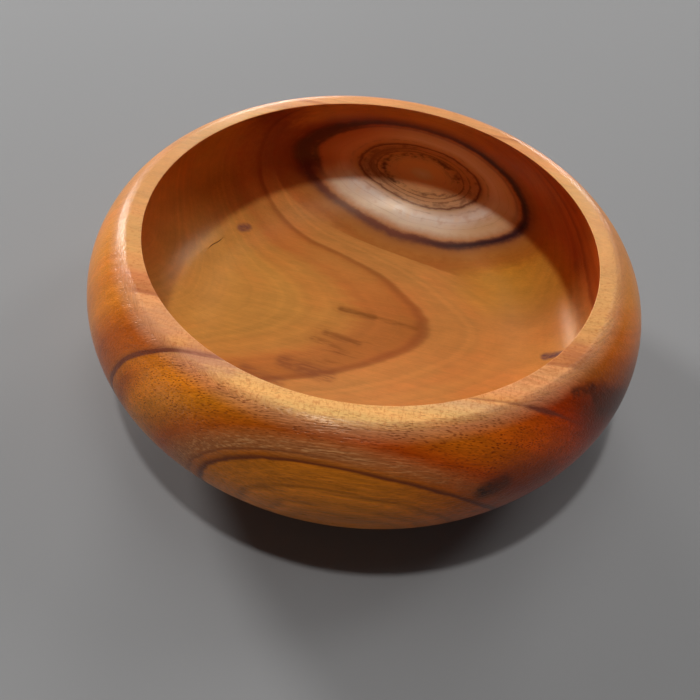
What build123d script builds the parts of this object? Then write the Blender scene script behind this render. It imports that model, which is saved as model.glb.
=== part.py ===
"""A round wooden bowl, turned and hand finished from one block of wood.

The mouth is narrower than the belly, so the wall leans inwards above the widest level. The rim
is a flat ring. The underside stands on a ring-shaped foot around a shallow recess.
Everything is in millimetres. The origin is the centre of the foot on the resting surface, and
+Z points up out of the mouth. Radii are measured from the upright Z axis.
"""

import os
from math import asin, degrees

from build123d import *

# Outside
height = 90.0
rim_outer_radius = 117.4
belly_radius = 138.0
belly_level = 55.7
lower_reach = 105.6  # semi-axis of the lower outside curve, along the radius
lower_drop = 61.3  # semi-axis of the lower outside curve, along Z

# Inside
mouth_radius = 108.0
inner_belly_radius = 127.5
inner_belly_level = 54.0
floor_level = 13.0
floor_radius = 76.0  # the flat part of the floor, inside the rounding up to the wall

# Underside
foot_inner_radius = 60.0
recess_depth = 1.5

# Edge roundings
lip_round = 1.0
rim_corner_round = 4.0
foot_corner_round = 6.0
recess_round = 1.2


def upright_arc_radius(inset, rise):
    """Radius of an arc that leaves a level going straight up and then leans inwards by inset over rise."""
    return (inset**2 + rise**2) / (2 * inset)


def outside_curve():
    """The outside from the foot, round the belly, up to the rim's outer corner."""
    below = asin(belly_level / lower_drop)
    EllipticalCenterArc(
        (belly_radius - lower_reach, belly_level),
        lower_reach,
        lower_drop,
        start_angle=-degrees(below),
        arc_size=degrees(below),
    )
    rise = height - belly_level
    radius = upright_arc_radius(belly_radius - rim_outer_radius, rise)
    CenterArc((belly_radius - radius, belly_level), radius, 0, degrees(asin(rise / radius)))


def inside_curve():
    """The inside from the edge of the flat floor, round the hollow, up to the lip."""
    drop = inner_belly_level - floor_level
    EllipticalCenterArc(
        (floor_radius, inner_belly_level),
        inner_belly_radius - floor_radius,
        drop,
        start_angle=-90,
        arc_size=90,
    )
    rise = height - inner_belly_level
    radius = upright_arc_radius(inner_belly_radius - mouth_radius, rise)
    CenterArc((inner_belly_radius - radius, inner_belly_level), radius, 0, degrees(asin(rise / radius)))


def foot_outer_radius():
    """Where the lower outside curve meets the resting surface."""
    share = (1 - (belly_level / lower_drop) ** 2) ** 0.5
    return belly_radius - lower_reach + lower_reach * share


def bowl_section():
    """One half of the bowl cut through its axis."""
    with BuildSketch(Plane.XZ) as section:
        with BuildLine():
            outside_curve()
            Line((rim_outer_radius, height), (mouth_radius, height))
            inside_curve()
            Line((floor_radius, floor_level), (0, floor_level))
            Line((0, floor_level), (0, recess_depth))
            Line((0, recess_depth), (foot_inner_radius, recess_depth))
            Line((foot_inner_radius, recess_depth), (foot_inner_radius, 0))
            Line((foot_inner_radius, 0), (foot_outer_radius(), 0))
        make_face()
    return section.sketch


def edge_at(solid, radius, level):
    """The round edge of the solid at this radius and level."""
    near = 0.01
    return [
        edge
        for edge in solid.edges().filter_by(GeomType.CIRCLE)
        if abs(edge.radius - radius) < near and abs(edge.arc_center.Z - level) < near
    ]


def make_bowl():
    """The section turned about the axis, with its sharp edges rounded."""
    solid = revolve(bowl_section(), Axis.Z, 360)
    roundings = (
        (mouth_radius, height, lip_round),
        (rim_outer_radius, height, rim_corner_round),
        (foot_outer_radius(), 0, foot_corner_round),
        (foot_inner_radius, 0, recess_round),
    )
    for radius, level, rounding in roundings:
        solid = fillet(edge_at(solid, radius, level), rounding)
    return solid


os.makedirs("parts", exist_ok=True)
export_step(make_bowl(), "parts/bowl.step")
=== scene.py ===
"""The looks of a round wooden bowl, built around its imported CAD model. Lengths are in metres."""

import math

import bpy
import numpy as np
from mathutils import Matrix, Vector


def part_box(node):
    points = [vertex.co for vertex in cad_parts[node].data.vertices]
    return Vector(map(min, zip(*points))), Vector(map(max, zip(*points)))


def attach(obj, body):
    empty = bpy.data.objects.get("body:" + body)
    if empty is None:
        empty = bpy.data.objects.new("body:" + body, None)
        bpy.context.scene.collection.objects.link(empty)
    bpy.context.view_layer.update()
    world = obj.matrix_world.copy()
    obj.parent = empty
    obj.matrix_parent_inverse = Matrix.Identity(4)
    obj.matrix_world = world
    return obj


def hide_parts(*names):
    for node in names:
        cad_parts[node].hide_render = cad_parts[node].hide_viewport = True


MM = 0.001

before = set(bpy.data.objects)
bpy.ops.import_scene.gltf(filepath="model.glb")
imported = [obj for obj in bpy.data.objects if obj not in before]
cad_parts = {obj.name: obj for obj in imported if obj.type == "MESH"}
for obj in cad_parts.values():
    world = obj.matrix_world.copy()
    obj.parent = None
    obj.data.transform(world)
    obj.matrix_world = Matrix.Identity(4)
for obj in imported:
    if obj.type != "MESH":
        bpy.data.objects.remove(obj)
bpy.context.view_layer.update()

# ---------------------------------------------------------------- the turned shape
bowl_low, bowl_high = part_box("bowl")
HEIGHT = bowl_high.z - bowl_low.z
BELLY_RADIUS = (bowl_high.x - bowl_low.x) / 2
BELLY_LEVEL = 0.619 * HEIGHT
RIM_RADIUS = 0.8507 * BELLY_RADIUS
MOUTH_RADIUS = 0.7826 * BELLY_RADIUS
LOWER_REACH = 105.6 * MM
LOWER_DROP = 61.3 * MM
HOLLOW_RADIUS = BELLY_RADIUS - 10.5 * MM
HOLLOW_LEVEL = 0.6 * HEIGHT
FLOOR_LEVEL = 13 * MM
FLOOR_RADIUS = 76 * MM
RECESS_RADIUS = 60 * MM
RECESS_DEPTH = 1.5 * MM
LIP_ROUND = 1.0 * MM
RIM_CORNER_ROUND = 2.6 * MM
FOOT_ROUND = 6 * MM
RECESS_ROUND = 1.2 * MM
COLUMNS = 400
ROW_STEP = 2.4 * MM


def ellipse_arc(centre, reach, drop, start, end, count):
    """Points on an upright ellipse, from one angle to another."""
    angles = np.linspace(start, end, count)
    return np.column_stack([centre[0] + reach * np.cos(angles), centre[1] + drop * np.sin(angles)])


def leaning_arc(radius, level, inset, rise):
    """An arc that leaves (radius, level) going straight up and leans inwards by inset over rise."""
    size = (inset**2 + rise**2) / (2 * inset)
    return ellipse_arc((radius - size, level), size, size, 0, math.asin(rise / size), 200)


def lengths_along(points):
    """How far along a polyline each of its points is."""
    steps = np.hypot(*np.diff(points, axis=0).T)
    return np.concatenate([[0], np.cumsum(steps)])


def at_length(points, wanted):
    """The points found at the wanted lengths along a polyline."""
    run = lengths_along(points)
    return np.column_stack([np.interp(wanted, run, points[:, 0]), np.interp(wanted, run, points[:, 1])])


def rounded(before, after, size):
    """Two polylines that meet at a corner, joined by a small rounding of the given size."""
    run_in, run_out = lengths_along(before)[-1], lengths_along(after)[-1]
    start = at_length(before, [run_in - size])[0]
    end = at_length(after, [size])[0]
    corner = before[-1]
    t = np.linspace(0, 1, 7)[:, None]
    bend = (1 - t) ** 2 * start + 2 * t * (1 - t) * corner + t**2 * end
    kept_before = at_length(before, np.linspace(0, run_in - size, 200))
    kept_after = at_length(after, np.linspace(size, run_out, 200))
    return kept_before, bend, kept_after


def spread_rows(points, step):
    """The same polyline with even steps, ends kept."""
    run = lengths_along(points)[-1]
    return at_length(points, np.linspace(0, run, max(2, round(run / step) + 1)))


def join(parts):
    """Polylines laid end to end, shared ends kept once."""
    return np.vstack([parts[0]] + [part[1:] for part in parts[1:]])


def outside_outline():
    """From the middle of the underside, round the foot and up to the rim's outer corner."""
    below = math.asin(BELLY_LEVEL / LOWER_DROP)
    lower = ellipse_arc((BELLY_RADIUS - LOWER_REACH, BELLY_LEVEL), LOWER_REACH, LOWER_DROP, -below, 0, 300)
    shoulder = leaning_arc(BELLY_RADIUS, BELLY_LEVEL, BELLY_RADIUS - RIM_RADIUS, HEIGHT - BELLY_LEVEL)
    recess = np.array([[2 * MM, RECESS_DEPTH], [RECESS_RADIUS - 0.5 * MM, RECESS_DEPTH]])
    step_down = np.array([[RECESS_RADIUS - 0.5 * MM, RECESS_DEPTH], [RECESS_RADIUS + 2 * MM, 0]])
    foot = np.array([[RECESS_RADIUS + 2 * MM, 0], [lower[0, 0], 0]])
    recess, recess_bend, step_down = rounded(recess, step_down, RECESS_ROUND)
    step_down, foot_bend, foot = rounded(step_down, foot, RECESS_ROUND)
    foot, edge_bend, wall = rounded(foot, join([lower, shoulder]), FOOT_ROUND)
    return recess, recess_bend, step_down, foot_bend, foot, edge_bend, wall


def inside_outline():
    """From the lip down the inside and across the floor to its middle."""
    leaning = leaning_arc(HOLLOW_RADIUS, HOLLOW_LEVEL, HOLLOW_RADIUS - MOUTH_RADIUS, HEIGHT - HOLLOW_LEVEL)
    reach, drop = HOLLOW_RADIUS - FLOOR_RADIUS, HOLLOW_LEVEL - FLOOR_LEVEL
    cove = ellipse_arc((FLOOR_RADIUS, HOLLOW_LEVEL), reach, drop, 0, -math.pi / 2, 300)
    floor = np.array([[FLOOR_RADIUS, FLOOR_LEVEL], [2 * MM, FLOOR_LEVEL]])
    return join([leaning[::-1], cove, floor])


def bowl_outline():
    """The section's outline from the underside's middle to the floor's middle.

    Also says how much of each row belongs to the outside wall, and where the inside's rows begin."""
    recess, recess_bend, step_down, foot_bend, foot, edge_bend, wall = outside_outline()
    rim = np.array([[RIM_RADIUS, HEIGHT], [MOUTH_RADIUS, HEIGHT]])
    wall, rim_bend, rim = rounded(wall, rim, RIM_CORNER_ROUND)
    rim, lip_bend, inside = rounded(rim, inside_outline(), LIP_ROUND)
    under = join([spread_rows(recess, 6 * MM), recess_bend, spread_rows(step_down, MM), foot_bend])
    under = join([under, spread_rows(foot, 4 * MM), edge_bend])
    wall = spread_rows(wall, ROW_STEP)
    top = join([rim_bend, spread_rows(rim, 1.5 * MM), lip_bend])
    inside = inside_rows(inside)
    outline = join([under, wall, top, inside])
    outer_rows = len(under) + len(wall) - 1
    outside_share = np.zeros(len(outline))
    outside_share[:outer_rows] = 1
    outside_share[outer_rows : outer_rows + 6] = np.linspace(0.85, 0, 6)
    return outline, outside_share, outer_rows + len(top) - 1


# a hairline crack in the left of the cove, and a small split in the right of the lip
CRACK_TURN = math.radians(151)
CRACK_RUN = 105 * MM
CRACK_HALF_TURN = math.radians(5.2)
CRACK_DEPTH = 0.45 * MM
CRACK_HALF_WIDTH = 0.28 * MM
SPLIT_TURN = math.radians(-16.5)
SPLIT_HALF_WIDTH = 0.5 * MM
SPLIT_DEPTH = 1.2 * MM
SPLIT_REACH = 3.6 * MM


def inside_rows(inside):
    """Even rows down the inside, closer together where the crack runs."""
    run = lengths_along(inside)[-1]
    near, far = run - CRACK_RUN - 2.6 * MM, run - CRACK_RUN + 2.6 * MM
    above = np.linspace(0, near, round(near / ROW_STEP))
    across = np.linspace(near, far, 24)[1:-1]
    below = np.linspace(far, run, round((run - far) / ROW_STEP))
    return at_length(inside, np.concatenate([above, across, below]))


def column_angles():
    """Even angles round the bowl, closer together where the lip is split."""
    even = np.arange(COLUMNS) * 2 * math.pi / COLUMNS
    close = SPLIT_TURN + np.linspace(-1.5, 1.5, 15) * MM / MOUTH_RADIUS
    return np.unique((np.concatenate([even, close]) % (2 * math.pi)).round(6))


def rub(angles, phase, waves):
    """Slow unevenness of hand sanding round the bowl, between 0 and 1."""
    total = sum(np.sin(count * angles + phase * count) / (index + 1) for index, count in enumerate(waves))
    return 0.5 + total / (2 * sum(1 / (index + 1) for index in range(len(waves))))


def lathe(name, outline, outside_share, inside_start):
    """A closed mesh of the outline turned about the Z axis, with the hand-made unevenness."""
    angles = column_angles()
    columns = len(angles)
    r, z = outline[:, 0][:, None], outline[:, 1][:, None]
    slope = np.gradient(outline, axis=0)
    slope /= np.hypot(*slope.T)[:, None]
    outward_r, outward_z = slope[:, 1][:, None], -slope[:, 0][:, None]
    from_middle = lengths_along(outline[::-1])[::-1][:, None]
    inside = (np.arange(len(outline)) >= inside_start)[:, None]
    wall = (outside_share > 0.5)[:, None] & (z > 8 * MM)
    worn = 0.22 * MM * rub(angles[None, :] + 9 * z, 0.7, (2, 5, 9)) * wall
    away_from_axis = np.clip((r - 15 * MM) / (55 * MM), 0, 1) ** 2
    worn = worn + 0.18 * MM * rub(angles[None, :] + 7 * z, 2.1, (3, 4, 11)) * inside * away_from_axis
    crack_line = CRACK_RUN + 3.5 * MM * (angles - CRACK_TURN) + 0.25 * MM * np.sin(60 * (angles - CRACK_TURN))
    crack = np.exp(-(((from_middle - crack_line[None, :]) / CRACK_HALF_WIDTH) ** 2))
    crack = crack * np.clip(1 - ((angles - CRACK_TURN) / CRACK_HALF_TURN) ** 2, 0, 1)[None, :] * inside
    sideways = (angles - SPLIT_TURN)[None, :] * MOUTH_RADIUS / SPLIT_HALF_WIDTH
    along = np.clip(1 - np.abs(from_middle - from_middle[inside_start]) / SPLIT_REACH, 0, 1)
    split = np.exp(-(sideways**2)) * along
    cut = worn + CRACK_DEPTH * crack + SPLIT_DEPTH * split
    turned_r, turned_z = r - outward_r * cut, z - outward_z * cut
    rings = np.stack([turned_r * np.cos(angles), turned_r * np.sin(angles), turned_z], axis=-1)
    rows = len(outline)
    points = np.vstack([rings.reshape(-1, 3), [[0, 0, outline[0, 1]]], [[0, 0, outline[-1, 1]]]])
    a = (np.arange(rows - 1)[:, None] * columns + np.arange(columns)[None, :]).ravel()
    b = (np.arange(rows - 1)[:, None] * columns + (np.arange(columns) + 1)[None, :] % columns).ravel()
    faces = np.column_stack([a, b, b + columns, a + columns]).tolist()
    bottom, top, last = len(points) - 2, len(points) - 1, (rows - 1) * columns
    for column in range(columns):
        after = (column + 1) % columns
        faces.append((bottom, after, column))
        faces.append((top, last + column, last + after))
    mesh = bpy.data.meshes.new(name)
    mesh.from_pydata(points.tolist(), [], faces)
    mesh.shade_smooth()
    share = mesh.attributes.new("outside", "FLOAT", "POINT")
    flags = np.concatenate([np.repeat(outside_share, columns), [1, 0]])
    share.data.foreach_set("value", flags.astype(np.float32))
    flaws = mesh.attributes.new("flaw", "FLOAT", "POINT")
    depth = np.concatenate([np.clip(crack + split, 0, 1).ravel(), [0, 0]])
    flaws.data.foreach_set("value", depth.astype(np.float32))
    piece = bpy.data.objects.new(name, mesh)
    bpy.context.scene.collection.objects.link(piece)
    return piece


# ---------------------------------------------------------------- node arithmetic
class Wire:
    """A number flowing through a material's nodes, with ordinary arithmetic."""

    def __init__(self, paint, socket):
        self.paint = paint
        self.socket = socket

    def __add__(self, other):
        return self.paint.math("ADD", self, other)

    def __sub__(self, other):
        return self.paint.math("SUBTRACT", self, other)

    def __rsub__(self, other):
        return self.paint.math("SUBTRACT", other, self)

    def __mul__(self, other):
        return self.paint.math("MULTIPLY", self, other)

    def __truediv__(self, other):
        return self.paint.math("DIVIDE", self, other)

    __radd__ = __add__
    __rmul__ = __mul__


class Paint:
    """Builds one material out of nodes."""

    def __init__(self, name):
        self.material = bpy.data.materials.new(name)
        self.material.use_nodes = True
        self.tree = self.material.node_tree
        self.shader = self.tree.nodes["Principled BSDF"]

    def put(self, value, socket):
        if isinstance(value, Wire):
            self.tree.links.new(value.socket, socket)
        else:
            socket.default_value = value

    def math(self, operation, first, second=0.0):
        node = self.tree.nodes.new("ShaderNodeMath")
        node.operation = operation
        self.put(first, node.inputs[0])
        self.put(second, node.inputs[1])
        return Wire(self, node.outputs[0])

    def smooth(self, value, low, high):
        """0 below low, 1 above high, easing in between."""
        node = self.tree.nodes.new("ShaderNodeMapRange")
        node.interpolation_type = "SMOOTHSTEP"
        self.put(value, node.inputs["Value"])
        self.put(low, node.inputs["From Min"])
        self.put(high, node.inputs["From Max"])
        return Wire(self, node.outputs["Result"])

    def line(self, value, centre, before, after):
        """1 at the centre, fading to 0 over `before` below it and `after` above it."""
        return self.smooth(value, centre - before, centre) - self.smooth(value, centre, centre + after)

    def vector(self, x, y, z):
        node = self.tree.nodes.new("ShaderNodeCombineXYZ")
        for value, socket in zip((x, y, z), node.inputs):
            self.put(value, socket)
        return Wire(self, node.outputs[0])

    def place(self):
        """The three coordinates in the bowl's own frame, in millimetres."""
        source = self.tree.nodes.new("ShaderNodeTexCoord")
        parts = self.tree.nodes.new("ShaderNodeSeparateXYZ")
        self.tree.links.new(source.outputs["Object"], parts.inputs[0])
        return [Wire(self, output) / MM for output in parts.outputs]

    def length(self, *sides):
        total = sides[0] * sides[0]
        for side in sides[1:]:
            total = total + side * side
        return self.math("SQRT", total)

    def noise(self, vector, detail=2.0, roughness=0.5):
        """Cloudy noise about 0, mostly between -1 and 1."""
        node = self.tree.nodes.new("ShaderNodeTexNoise")
        self.put(vector, node.inputs["Vector"])
        node.inputs["Scale"].default_value = 1.0
        node.inputs["Detail"].default_value = detail
        node.inputs["Roughness"].default_value = roughness
        return (Wire(self, node.outputs["Fac"]) - 0.5) * 4

    def rings(self, value, detail=2.0):
        """Noise that changes along one number only, about 0."""
        node = self.tree.nodes.new("ShaderNodeTexNoise")
        node.noise_dimensions = "1D"
        self.put(value, node.inputs["W"])
        node.inputs["Scale"].default_value = 1.0
        node.inputs["Detail"].default_value = detail
        return (Wire(self, node.outputs["Fac"]) - 0.5) * 4

    def cells(self, vector):
        """Distance to the nearest of many scattered points, and a random number for that point."""
        node = self.tree.nodes.new("ShaderNodeTexVoronoi")
        self.put(vector, node.inputs["Vector"])
        node.inputs["Scale"].default_value = 1.0
        parts = self.tree.nodes.new("ShaderNodeSeparateColor")
        self.tree.links.new(node.outputs["Color"], parts.inputs[0])
        return Wire(self, node.outputs["Distance"]), Wire(self, parts.outputs[0])

    def ramp(self, value, end, stops):
        """A colour that follows a number from 0 to end, through (number, colour) stops."""
        node = self.tree.nodes.new("ShaderNodeValToRGB")
        self.put(value / end, node.inputs["Fac"])
        elements = node.color_ramp.elements
        elements.remove(elements[1])
        elements[0].position = stops[0][0] / end
        elements[0].color = (*stops[0][1], 1)
        for position, colour in stops[1:]:
            elements.new(position / end).color = (*colour, 1)
        return Wire(self, node.outputs["Color"])

    def blend(self, kind, amount, below, above):
        node = self.tree.nodes.new("ShaderNodeMix")
        node.data_type = "RGBA"
        node.blend_type = kind
        self.put(amount, node.inputs["Factor"])
        for value, name in ((below, "A"), (above, "B")):
            socket = [port for port in node.inputs if port.name == name and port.type == "RGBA"][0]
            self.put(value if isinstance(value, Wire) else (*value, 1), socket)
        return Wire(self, [port for port in node.outputs if port.type == "RGBA"][0])

    def mix(self, amount, below, above):
        return self.blend("MIX", amount, below, above)

    def tint(self, share, colour, factors):
        """The colour, with its channels multiplied by the factors as far as the share says."""
        return self.mix(share, colour, self.blend("MULTIPLY", 1.0, colour, factors))

    def brighten(self, colour, factor):
        """The colour times a number near 1."""
        node = self.tree.nodes.new("ShaderNodeVectorMath")
        node.operation = "SCALE"
        self.put(colour, node.inputs[0])
        self.put(factor, node.inputs["Scale"])
        return Wire(self, node.outputs[0])

    def attribute(self, name):
        node = self.tree.nodes.new("ShaderNodeAttribute")
        node.attribute_name = name
        return Wire(self, node.outputs["Fac"])

    def near(self, place, start, end, core, fade):
        """1 within `core` of the segment from start to end, fading to 0 over `fade`."""
        start, end = Vector(start), Vector(end)
        run = end - start
        offsets = [coordinate - edge for coordinate, edge in zip(place, start)]
        along = sum((offset * side for offset, side in zip(offsets, run)), 0.0)
        share = along / max(run.length_squared, 1e-6)
        share = self.math("MINIMUM", self.math("MAXIMUM", share, 0.0), 1.0)
        gap = self.length(*[offset - share * side for offset, side in zip(offsets, run)])
        return 1 - self.smooth(gap, core, core + fade)


# ---------------------------------------------------------------- the wood
# the log: growth rings round a pith line that rises to the right, in millimetres from the foot's centre
PITH_Y, PITH_Z = 12.85, 99.3
PITH_SWING, PITH_CLIMB = -0.098, 0.311
RING_SQUASH = 0.895

# the knot: a branch that leaves through the back wall
KNOT_CENTRE = Vector((29.2, 120, 38.7))
KNOT_TURN = math.radians(20.7)
KNOT_DIP = math.radians(-10.4)
KNOT_ROLL = math.radians(2.3)
KNOT_STRETCH = 2.39


def ring_distance(paint, x, y, z):
    """How far each point is from the log's pith, with the rings' gentle wandering."""
    across = y - PITH_Y - PITH_SWING * x
    depth = (z - PITH_Z - PITH_CLIMB * x) * RING_SQUASH
    drift = paint.noise(paint.vector(x / 150, y / 45, z / 45), 1)
    tremor = paint.noise(paint.vector(x / 40, y / 8, z / 8), 2)
    return paint.length(across, depth) + drift * 1.0 + tremor * 0.35


def knot_distance(paint, x, y, z):
    """How far each point is from the knot's axis, flattened to the knot's oval; large away from the back."""
    outward = Vector(
        (
            math.sin(KNOT_TURN) * math.cos(KNOT_DIP),
            math.cos(KNOT_TURN) * math.cos(KNOT_DIP),
            math.sin(KNOT_DIP),
        )
    )
    flat = Vector((0, 0, 1)).cross(outward).normalized()
    upright = outward.cross(flat)
    wide = math.cos(KNOT_ROLL) * flat + math.sin(KNOT_ROLL) * upright
    tall = math.cos(KNOT_ROLL) * upright - math.sin(KNOT_ROLL) * flat
    offset = (x - KNOT_CENTRE.x, y - KNOT_CENTRE.y, z - KNOT_CENTRE.z)
    along, sideways, height = [
        offset[0] * axis.x + offset[1] * axis.y + offset[2] * axis.z for axis in (outward, wide, tall)
    ]
    waver = paint.noise(paint.vector(x / 34, y / 34, z / 18), 1) * 0.7
    far_away = (1 - paint.smooth(along, -70, -45)) * 300
    return paint.length(sideways / KNOT_STRETCH, height) + waver + far_away, sideways, height


def wood_material():
    paint = Paint("bowl_wood")
    x, y, z = place = paint.place()
    outside = paint.attribute("outside")
    ring = ring_distance(paint, x, y, z)
    knot, knot_side, knot_height = knot_distance(paint, x, y, z)
    around_knot = 1 - paint.smooth(knot, 34, 62)
    ring = paint.math("MINIMUM", ring, 220 - around_knot * 118)
    across = y + (1 - outside) * x * 0.16
    streak = paint.noise(paint.vector(x / 38, across / 3.2, z / 3.2), 3, 0.6)
    fibre = paint.noise(paint.vector(x / 9, across / 0.7, z / 0.7), 2, 0.6)
    cloud = paint.noise(paint.vector(x / 60, y / 26, z / 26), 2)

    inner_wood = paint.ramp(
        ring + paint.line(ring, 77, 9, 5) * streak * 1.6,
        200,
        [
            (0, (0.64, 0.25, 0.050)),
            (30, (0.66, 0.28, 0.058)),
            (56, (0.67, 0.30, 0.060)),
            (66, (0.68, 0.30, 0.058)),
            (74.5, (0.67, 0.27, 0.054)),
            (78, (0.58, 0.195, 0.040)),
            (85, (0.55, 0.18, 0.034)),
            (87.2, (0.42, 0.12, 0.026)),
            (88.2, (0.72, 0.285, 0.066)),
            (94, (0.74, 0.305, 0.072)),
            (104, (0.71, 0.29, 0.068)),
            (112, (0.76, 0.31, 0.050)),
            (122, (0.82, 0.37, 0.040)),
            (145, (0.76, 0.32, 0.036)),
        ],
    )
    outer_wood = paint.ramp(
        ring,
        200,
        [
            (0, (0.74, 0.28, 0.035)),
            (36, (0.74, 0.26, 0.030)),
            (60, (0.80, 0.27, 0.024)),
            (74, (0.76, 0.235, 0.020)),
            (80, (0.68, 0.20, 0.018)),
            (88, (0.78, 0.24, 0.020)),
            (95, (0.64, 0.16, 0.011)),
            (102, (0.48, 0.095, 0.006)),
            (109, (0.52, 0.11, 0.007)),
            (112, (0.62, 0.155, 0.007)),
            (122, (0.74, 0.22, 0.010)),
            (130, (0.68, 0.185, 0.006)),
            (136, (0.54, 0.105, 0.004)),
            (143, (0.54, 0.125, 0.006)),
            (146, (0.70, 0.20, 0.012)),
            (155, (0.76, 0.215, 0.013)),
        ],
    )
    # painted shade: the right outer wall darker and redder, as on its unlit side
    painted_shade_side = paint.smooth(x, 0, 98) * paint.smooth(ring, 86, 101)
    outer_wood = paint.tint(painted_shade_side, outer_wood, (0.80, 0.30, 0.15))
    # painted shade: the near right of the outer wall darker, with less green and blue
    painted_shade_near_right = paint.smooth(x, 75, 105) * (1 - paint.smooth(y, -60, -15))
    painted_shade_near_right = painted_shade_near_right * (1 - paint.smooth(ring, 92, 100))
    outer_wood = paint.tint(painted_shade_near_right, outer_wood, (0.82, 0.60, 0.40))
    upper_right = paint.line(ring, 103, 5, 6) * paint.smooth(x, 30, 80)
    outer_wood = paint.tint(upper_right, outer_wood, (0.82, 0.94, 0.8))
    middle = paint.line(ring, 135, 12, 7) * paint.line(x, 10, 60, 45)
    outer_wood = paint.tint(middle, outer_wood, (0.88, 0.58, 0.4))
    # painted light: the left front of the outer wall made lighter, as where more light falls on it
    glow = paint.line(ring, 122, 12, 14) * (1 - paint.smooth(x, -45, 10))
    outer_wood = paint.tint(glow, outer_wood, (1.14, 1.2, 1.1))
    # the right cove more golden and lighter: partly its golden tone, partly painted light where the lit floor
    # reaches up
    golden_and_lit_cove = paint.smooth(x, 45, 85) * paint.smooth(y, 15, 45) * (1 - paint.smooth(z, 34, 50))
    inner_wood = paint.tint(golden_and_lit_cove, inner_wood, (1.08, 1.15, 0.65))
    # painted shade: the front shoulder under the rim darkened, narrowing its bright band
    shoulder = paint.line(ring, 128, 4, 5) * paint.line(x, -15, 30, 30)
    outer_wood = paint.tint(shoulder, outer_wood, (0.78, 0.72, 0.80))
    low_left = (1 - paint.smooth(x, -98, -74)) * (1 - paint.smooth(z, 72, 86)) * paint.line(ring, 118, 6, 6)
    outer_wood = paint.tint(low_left, outer_wood, (0.66, 0.48, 0.42))
    # painted highlight: the top few millimetres of the outer wall, along the rim's outer corner, mixed
    # towards a paler colour
    crest = paint.smooth(z, 85, 89.5)
    outer_wood = paint.mix(crest * 0.7, outer_wood, (0.70, 0.30, 0.13))
    fading = paint.line(ring, 83, 9, 6) * paint.smooth(y, 0, 55)
    inner_wood = paint.mix(fading * (paint.smooth(z, 14, 22) * 0.2 + 0.78), inner_wood, (0.71, 0.28, 0.060))
    # the inner wall above the cove darker and redder: partly its redder tone, partly painted shade, as on the
    # walls under the lip
    wall = paint.smooth(z, 30, 50) - paint.smooth(z, 86, 88.5)
    inner_wood = paint.tint(wall, inner_wood, (0.88, 0.72, 0.60))
    # painted shade: the back wall's shaded upper part a little darker in red
    painted_shade_back_wall = wall * paint.smooth(y, 30, 80)
    inner_wood = paint.tint(painted_shade_back_wall, inner_wood, (0.86, 0.96, 1.0))
    # painted shade: the right inner wall darker and redder
    painted_shade_right_wall = wall * paint.smooth(x, 30, 80) * paint.smooth(y, -20, 20)
    inner_wood = paint.tint(painted_shade_right_wall, inner_wood, (0.86, 0.52, 0.45))
    # painted shade: a dark, purplish patch on the back-left wall
    painted_deep_shade = painted_shade_back_wall * paint.line(x + streak * 5, -64, 24, 26)
    inner_wood = paint.tint(painted_deep_shade, inner_wood, (0.52, 0.32, 0.55))
    upright = paint.smooth(paint.rings(ring / 6, 2) + streak * 0.2, -0.2, 1.0) * wall * (1 - outside)
    inner_wood = paint.tint(upright * (paint.smooth(x, -30, 60) * 0.35 + 0.12), inner_wood, (0.80, 0.55, 0.5))
    top = paint.smooth(z, 88.4, 89.8)
    inner_wood = paint.tint(top, inner_wood, (1.08, 1.18, 1.9))
    near_rim = top * (1 - paint.smooth(y, -90, -50))
    golden_rim = near_rim * paint.smooth(ring, 109, 114)
    inner_wood = paint.tint(golden_rim, inner_wood, (0.93, 1.08, 1.9))
    wood = paint.mix(outside, inner_wood, outer_wood)

    # growth lines, clouds and fibre
    lines = paint.rings(ring / 2.6 + streak * 0.05, 3)
    broad = paint.rings(ring / 9, 1)
    end_grain = paint.smooth(paint.math("MAXIMUM", x, -1 * x), 92, 128) * outside
    coarse = (outside * 1.05 + 0.45) * (1 - end_grain * 0.6)
    blotch = paint.noise(paint.vector(x / 15, y / 9, z / 9), 3, 0.6) * (1 - outside)
    wood = paint.brighten(
        wood,
        lines * (1 - fading * 0.85) * 0.06
        + broad * 0.05
        + cloud * 0.12
        + blotch * 0.07
        + (streak + fibre) * coarse * 0.12
        + 1,
    )
    beyond_arch = paint.smooth(ring, 145, 149) * outside
    wood = paint.brighten(wood, paint.rings(ring / 1.8 + streak * 0.25, 3) * beyond_arch * 0.34 + 1)
    warm = paint.smooth(broad * 0.5 + cloud * 0.8, -0.2, 0.9)
    wood = paint.tint(warm * 0.5, wood, (0.92, 0.72, 0.72))

    # the dark lines between the log's layers
    left = 1 - paint.smooth(x, -20, 10)
    front = 1 - paint.smooth(y, -60, -35)
    seam_ring = ring + x * 0.018
    seam = paint.line(seam_ring, 110.9, 1.2, 0.9) * 0.8 + paint.line(seam_ring, 110.9, 2.4, 1.3) * left * 0.5
    seam = seam + paint.line(seam_ring, 110.7, 6, 1.5) * (left * 0.2 + 0.2)
    seam = paint.math("MINIMUM", seam, 1.0) * front
    thick = paint.line(x, 74, 10, 12) * paint.line(seam_ring + streak * 0.3, 110.9, 2.4, 2.2)
    seam = seam * (1 - paint.smooth(x, 84, 98)) * (1 - paint.smooth(x, 0, 20) * 0.4)
    seam = paint.math("MINIMUM", seam + thick * front, 1.0)
    wood = paint.mix(seam * 0.9, wood, (0.17, 0.036, 0.020))
    bleached = paint.line(ring + streak * 0.8, 141.0, 5.5, 3.5) * outside
    bleached = bleached * (1 - paint.smooth(x, 0, 60) * 0.75)
    flecks = paint.smooth(paint.noise(paint.vector(x / 7, y / 0.75, z / 0.75), 2, 0.6), -0.3, 0.9)
    wood = paint.mix(bleached * (flecks * 0.5 + 0.35), wood, (0.72, 0.34, 0.13))
    wood = paint.mix(bleached * (1 - flecks) * 0.5, wood, (0.26, 0.075, 0.025))
    arch_ring = ring + streak * 0.25
    arch = paint.line(arch_ring, 144.7, 1.3, 0.7) * 0.9 + paint.line(arch_ring, 142.5, 0.8, 0.5) * left * 0.5
    wood = paint.mix(arch * outside, wood, (0.15, 0.030, 0.012))

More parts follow.
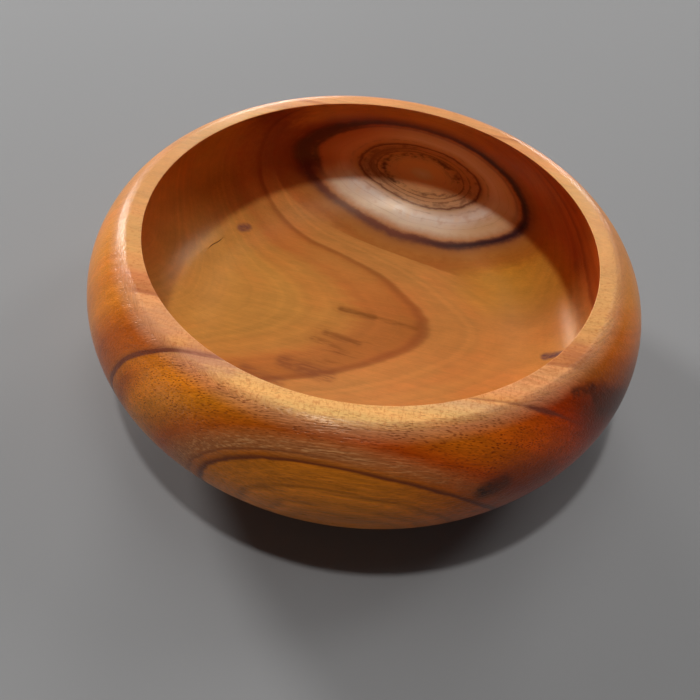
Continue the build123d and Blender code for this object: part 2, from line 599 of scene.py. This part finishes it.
    # pores: short dark dashes along the fibre
    gap, luck = paint.cells(paint.vector(x / 2.6, y / 0.66, z / 0.66))
    pore = (1 - paint.smooth(gap, 0.2, 0.48)) * paint.smooth(luck, 0.05, 0.3)
    porous = paint.line(ring, 126, 24, 20) * (0.35 + outside * 0.45) + outside * 0.2 + 0.08
    drift = paint.noise(paint.vector(x / 12, y / 4, z / 4), 1)
    porous = porous * (paint.smooth(drift, -0.9, 0.7) * 0.7 + 0.3)
    wood = paint.tint(pore * porous, wood, (0.44, 0.29, 0.18))
    grains = paint.smooth(paint.noise(paint.vector(x / 1.7, y / 1.1, z / 1.1), 3, 0.6), -0.1, 0.8)
    ticks = paint.smooth(paint.noise(paint.vector(x / 0.9, y / 3.0, z / 3.0), 2, 0.6), 0.0, 0.8) * near_rim
    grains = paint.math("MAXIMUM", grains * top * (1 - paint.smooth(y, -60, 30) * 0.7), ticks)
    wood = paint.tint(grains * 0.7, wood, (0.76, 0.52, 0.42))

    wood = knot_colour(paint, wood, knot, knot_side, knot_height, place)
    wood = stains(paint, wood, place, streak, ring)
    # painted shade: the crack and the split made near-black, as shade falls in their narrow gaps
    flaw = paint.attribute("flaw")
    wood = paint.mix(paint.smooth(flaw, 0.25, 0.8), wood, (0.05, 0.018, 0.008))

    paint.put(wood, paint.shader.inputs["Base Color"])
    gloss = cloud * 0.02 + fibre * 0.02 + pore * porous * 0.08 + 0.30
    paint.put(gloss, paint.shader.inputs["Roughness"])
    paint.shader.inputs["Specular IOR Level"].default_value = 0.23
    paint.shader.inputs["Specular Tint"].default_value = (1.0, 0.75, 0.42, 1)
    paint.shader.inputs["Coat Weight"].default_value = 0.12
    paint.shader.inputs["Coat Roughness"].default_value = 0.22
    bump = paint.tree.nodes.new("ShaderNodeBump")
    bump.inputs["Distance"].default_value = 0.0001
    paint.put(fibre * coarse * 0.4 + streak * coarse * 0.3 - pore * porous * 0.5, bump.inputs["Height"])
    paint.tree.links.new(bump.outputs["Normal"], paint.shader.inputs["Normal"])
    paint.tree.links.new(bump.outputs["Normal"], paint.shader.inputs["Coat Normal"])
    return paint.material


def knot_colour(paint, wood, knot, knot_side, knot_height, place):
    """The eye in the back wall: a light heart, a mottled ring, a cream band and a thick dark edge, with
    painted shade over its upper half.
    """
    x, y, z = place
    mottle = paint.noise(paint.vector(x / 5.0, y / 5.0, z / 2.4), 3, 0.6)
    right = 1 - paint.smooth(knot_side, -45, 5)
    far_left = paint.smooth(knot_side, 22, 60)
    # the knot's upper half, above the shadow edge, which gets painted shade
    above = paint.smooth(knot_height + far_left * 10, -8, 8)
    eye = paint.ramp(
        knot + mottle * 0.35,
        50,
        [
            (0, (0.84, 0.58, 0.32)),
            (2.4, (0.80, 0.50, 0.24)),
            (3.8, (0.84, 0.43, 0.18)),
            (6.6, (0.82, 0.39, 0.15)),
            (8.4, (0.74, 0.37, 0.15)),
            (11, (0.66, 0.33, 0.13)),
            (15.8, (0.70, 0.40, 0.20)),
            (16.5, (0.20, 0.06, 0.03)),
            (17.4, (0.76, 0.48, 0.27)),
            (21, (0.98, 0.86, 0.73)),
            (26, (0.94, 0.73, 0.50)),
            (28.6, (0.64, 0.29, 0.12)),
            (29.5, (0.28, 0.09, 0.05)),
            (30.7, (0.24, 0.08, 0.045)),
            (32.2, (0.46, 0.17, 0.045)),
            (37, (0.68, 0.26, 0.036)),
        ],
    )
    inside_eye = 1 - paint.smooth(knot, 31.5, 38)
    # painted shade: the knot's upper half darker and redder
    shaded = paint.blend("MULTIPLY", 1.0, eye, (0.84, 0.54, 0.36))
    eye = paint.mix(above * paint.smooth(knot, 7, 14) * 0.85, eye, shaded)
    dusky = above * paint.smooth(knot, 19, 29) * (far_left * 0.3 + 0.5 - right * 0.15)
    eye = paint.tint(dusky, eye, (0.55, 0.36, 0.32))
    reddish = above * paint.smooth(knot_side, 5, 42) * paint.smooth(knot, 14, 22)
    eye = paint.tint(reddish, eye, (0.92, 0.58, 0.42))
    wood = paint.mix(inside_eye, wood, eye)
    below = paint.line(knot + mottle * 0.8, 36, 3.5, 4.5) * (1 - above)
    wood = paint.tint(below * 0.8, wood, (0.74, 0.56, 0.50))
    sheen = paint.noise(paint.vector(x / 7, y / 7, z / 12), 2)
    # the cream band, real in the wood, made lighter and whiter only in the lit lower half: painted light,
    # with painted highlight streaks
    cream = paint.line(knot, 22, 5, 6) * (1 - above)
    wood = paint.mix(cream * paint.smooth(sheen, -0.2, 1.0) * 0.6, wood, (1.0, 0.76, 0.50))
    wood = paint.mix(cream * paint.smooth(-1 * sheen, 0.1, 1.0) * 0.5, wood, (0.66, 0.36, 0.18))
    golden = paint.line(knot, 25, 6, 5) * (1 - above) * (1 - paint.smooth(knot_side, -52, -18))
    wood = paint.mix(golden * 0.6, wood, (0.74, 0.38, 0.10))
    thin_ring = paint.line(knot, 27.4, 1.0, 0.9) * above * (far_left * 0.5 + 0.3)
    wood = paint.mix(thin_ring, wood, (0.15, 0.04, 0.022))
    edge = paint.line(knot + mottle * 0.2, 30.2, 1.7, 2.0) * (right * 0.8 + 0.15)
    wood = paint.mix(edge, wood, (0.05, 0.018, 0.022))
    haze = paint.line(knot + mottle * 0.8 + far_left * 2, 30.5, 2.6, 5)
    wood = paint.mix(haze * above * (far_left * 0.6 + 0.3), wood, (0.09, 0.018, 0.015))
    turns = paint.rings(knot / 0.9, 3)
    ragged = paint.line(knot, 12, 6, 7)
    wood = paint.mix(paint.smooth(turns + mottle * 1.1, 0.1, 0.75) * ragged * 0.65, wood, (0.22, 0.07, 0.028))
    left_turn = paint.line(knot + mottle * 1.0, 13.2, 1.6, 3.2) * paint.smooth(knot_side, 2, 30)
    wood = paint.mix(left_turn * 0.6, wood, (0.18, 0.05, 0.024))
    patch = paint.noise(paint.vector(x / 9, y / 9, z / 5), 2, 0.6)
    torn_ring = paint.line(knot + mottle * 1.0, 10.6, 1.9, 2.3) * paint.smooth(patch, -0.2, 0.5)
    wood = paint.mix(torn_ring * 0.85, wood, (0.11, 0.030, 0.018))
    inner_edge = paint.line(knot + mottle * 0.5, 15.4, 2.2, 1.2) * paint.smooth(patch + far_left, -0.1, 0.9)
    wood = paint.mix(inner_edge * 0.6, wood, (0.16, 0.045, 0.022))
    outer_turn = paint.line(knot + mottle * 0.4, 19.0, 0.6, 0.6) * paint.smooth(patch, -0.5, 0.6)
    wood = paint.mix(outer_turn * 0.4, wood, (0.36, 0.15, 0.07))
    pale_turns = paint.smooth(turns + mottle * 0.3, 0.4, 1.2) * inside_eye * 0.22
    wood = paint.mix(pale_turns, wood, (0.46, 0.20, 0.07))
    return wood


def stains(paint, wood, place, streak, ring):
    """Dark mineral stains, streaks and patches, each placed on the bowl to match the photograph."""
    grain = paint.noise(paint.vector(place[0] / 8, (place[1] + place[0] * 0.2) / 1.4, place[2] / 1.4), 2, 0.6)
    rough = streak * 0.6
    for start, end, core, fade, colour, strength, feather in (
        ((54, -125, 65.5), (61, -121.5, 67), 1.8, 5.0, (0.030, 0.010, 0.008), 1.0, 0.3),
        ((64, -120, 67), (80, -112, 64), 3.0, 12.0, (0.20, 0.034, 0.012), 0.6, 0.2),
        ((88, -87, 86), (97, -82, 83), 0.8, 3.0, (0.08, 0.020, 0.010), 0.85, 0.5),
        ((97, -82, 83), (99, -84, 79.5), 0.8, 2.6, (0.06, 0.016, 0.010), 0.9, 0.3),
        ((103, -82.5, 76), (117, -71, 64), 3.0, 6.5, (0.018, 0.008, 0.007), 1.0, 0.25),
        ((100, -83, 76), (122, -64, 62), 6.0, 16.0, (0.12, 0.022, 0.008), 0.75, 0.2),
        ((66, -86, 90), (77, -80, 90), 1.5, 6.0, (0.50, 0.17, 0.05), 0.6, 0.8),
        ((88, -71, 90), (91, -67, 90), 1.5, 6.0, (0.46, 0.14, 0.05), 0.6, 0.8),
        ((-86, -77, 90), (-80, -80, 90), 2.0, 9.0, (0.56, 0.23, 0.12), 0.5, 0.5),
        ((-66, -94, 90), (-52, -97, 90), 1.5, 8.0, (0.52, 0.20, 0.12), 0.65, 0.5),
        ((-12, 15.5, 13), (7, 11.8, 13), 0.4, 2.8, (0.15, 0.042, 0.008), 0.95, 0.45),
        ((-12, 15.5, 13), (4, 12.4, 13), 1.5, 6.0, (0.46, 0.15, 0.026), 0.5, 0.5),
        ((4, 12.4, 13), (32, 6.5, 13), 0.2, 2.4, (0.34, 0.10, 0.016), 0.75, 0.7),
        ((-19, -4.0, 13), (0, -10.2, 13), 0.3, 3.0, (0.22, 0.060, 0.012), 0.9, 0.7),
        ((-25, -9.5, 13), (-6, -16, 13), 0.3, 3.4, (0.27, 0.075, 0.014), 0.8, 0.8),
        ((-22, -6, 13), (-3, -14, 13), 3.0, 9.0, (0.48, 0.16, 0.030), 0.5, 0.6),
        ((-39, -28.5, 13), (-15, -35, 13), 1.5, 6.0, (0.30, 0.085, 0.025), 0.75, 0.6),
        ((-59, -36.6, 13), (-40, -43.4, 13), 1.0, 5.0, (0.30, 0.085, 0.030), 0.65, 0.6),
        ((102.5, -8.5, 19), (109.5, -9.5, 23.5), 0.9, 2.8, (0.10, 0.040, 0.070), 0.85, 0.3),
        ((-80, 68.5, 20), (-76.5, 70, 20), 1.2, 3.0, (0.22, 0.070, 0.060), 0.85, 0.3),
        ((-84, 96, 62), (-70, 104, 50), 4.0, 22.0, (0.40, 0.10, 0.03), 0.4, 0.3),
        ((66, 54, 13), (90, 36, 16), 6.0, 18.0, (0.52, 0.27, 0.05), 0.25, 0.3),
    ):
        spot = paint.near([place[0], place[1] + rough, place[2] + rough * 0.5], start, end, core, fade)
        torn = 1 - feather * (1 - paint.smooth(grain + streak * 0.4, -0.5, 0.5))
        wood = paint.mix(spot * torn * strength, wood, colour)
    tongue = paint.line(ring, 82, 7, 5) * (1 - paint.smooth(place[0], -5, 22))
    tongue = tongue * paint.smooth(place[0], -60, -10)
    tongue = tongue * (1 - paint.smooth(place[1], 15, 40))
    wood = paint.mix(paint.smooth(streak + grain * 0.5, 0.2, 1.1) * tongue * 0.7, wood, (0.28, 0.075, 0.015))
    return wood


bowl = lathe("turned_bowl", *bowl_outline())
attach(bowl, "root")
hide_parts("bowl")
bowl.data.materials.append(wood_material())


# ---------------------------------------------------------------- stage, lights and camera
BACKDROP = 0.32  # how bright the far floor and the room behind it look
FLOOR_GREY = (0.28, 0.278, 0.278)
BLACK = (0, 0, 0)

# The view, as fitted with the focal length assumed to be one picture width. The height that the
# fit leaves open was chosen, so this view and the bowl's proportions hold only together.
VIEW_TILT = 49.02  # degrees
VIEW_ROLL = 6.59  # degrees
VIEW_DISTANCE = 3.172  # in mouth radii
VIEW_AIM = (0.034, -0.181)  # the mouth's centre right and down of the picture's centre, in widths


def make_floor():
    """A pale floor, lit by the lamps near the bowl and fading into the backdrop further out."""
    mesh = bpy.data.meshes.new("floor")
    half = 6.0
    corners = [(-half, -half, 0), (half, -half, 0), (half, half, 0), (-half, half, 0)]
    mesh.from_pydata(corners, [], [(0, 1, 2, 3)])
    piece = bpy.data.objects.new("floor", mesh)
    bpy.context.scene.collection.objects.link(piece)
    paint = Paint("floor_paint")
    x, y, _ = paint.place()
    far = paint.smooth(paint.length(x, y), 550, 1500)
    paint.put(paint.mix(far, FLOOR_GREY, BLACK), paint.shader.inputs["Base Color"])
    paint.shader.inputs["Roughness"].default_value = 0.8
    paint.shader.inputs["Specular IOR Level"].default_value = 0.2
    paint.shader.inputs["Emission Color"].default_value = (1, 1, 1, 1)
    paint.put(far * BACKDROP, paint.shader.inputs["Emission Strength"])
    mesh.materials.append(paint.material)


def lamp(name, elevation, turn, size, watts, distance=1.6):
    """A round lamp facing the bowl from an elevation and a turn about Z, both in degrees."""
    data = bpy.data.lights.new(name, "AREA")
    data.shape = "DISK"
    data.size = size
    data.energy = watts
    up, round_z = math.radians(elevation), math.radians(turn)
    outward = Vector((math.cos(up) * math.cos(round_z), math.cos(up) * math.sin(round_z), math.sin(up)))
    piece = bpy.data.objects.new(name, data)
    piece.location = Vector((0, 0, 0.05)) + distance * outward
    piece.rotation_euler = outward.to_track_quat("Z", "Y").to_euler()
    piece.visible_camera = False
    bpy.context.scene.collection.objects.link(piece)


def make_world():
    """A dim room for the light, seen by the camera as a pale one."""
    world = bpy.data.worlds.new("room")
    world.use_nodes = True
    background = world.node_tree.nodes["Background"]
    background.inputs["Color"].default_value = (1.0, 1.0, 1.0, 1)
    path = world.node_tree.nodes.new("ShaderNodeLightPath")
    strength = world.node_tree.nodes.new("ShaderNodeMapRange")
    strength.inputs["To Min"].default_value = 0.03
    strength.inputs["To Max"].default_value = BACKDROP
    world.node_tree.links.new(path.outputs["Is Camera Ray"], strength.inputs["Value"])
    world.node_tree.links.new(strength.outputs["Result"], background.inputs["Strength"])
    bpy.context.scene.world = world


def make_camera():
    """The view fitted to the photograph, measured from the centre of the mouth."""
    tilt, roll = math.radians(VIEW_TILT), math.radians(VIEW_ROLL)
    distance = VIEW_DISTANCE * MOUTH_RADIUS
    aim_right, aim_down = VIEW_AIM
    back = Vector((0, -math.cos(tilt), math.sin(tilt)))
    right = Vector((1, 0, 0))
    up = back.cross(right)
    camera_right = math.cos(roll) * right + math.sin(roll) * up
    camera_up = -math.sin(roll) * right + math.cos(roll) * up
    turn = Matrix((camera_right, camera_up, back)).transposed()
    sight = turn @ Vector((aim_right, -aim_down, -1)).normalized()
    data = bpy.data.cameras.new("camera")
    data.sensor_width = 36
    data.lens = 36
    camera = bpy.data.objects.new("camera", data)
    camera.matrix_world = Matrix.Translation(Vector((0, 0, HEIGHT)) - sight * distance) @ turn.to_4x4()
    bpy.context.scene.collection.objects.link(camera)
    bpy.context.scene.camera = camera


make_floor()
lamp("front_ceiling_lamp", 82, -128, 0.10, 8.2)
lamp("right_ceiling_lamp", 84, -8, 0.60, 1.6)
lamp("ceiling_glow", 68, 90, 0.8, 4.0)
lamp("window_left", 21, 138, 0.68, 66, 3.2)
lamp("window_middle", 14, 104, 0.80, 30, 3.2)
lamp("window_right", 14, 66, 0.80, 21, 3.2)
lamp("far_lamp", 40, 33, 0.80, 13.5, 3.2)
lamp("left_glow", 6, -158, 1.2, 8.5, 3.2)
make_world()
make_camera()
bpy.context.scene.view_settings.view_transform = "Standard"
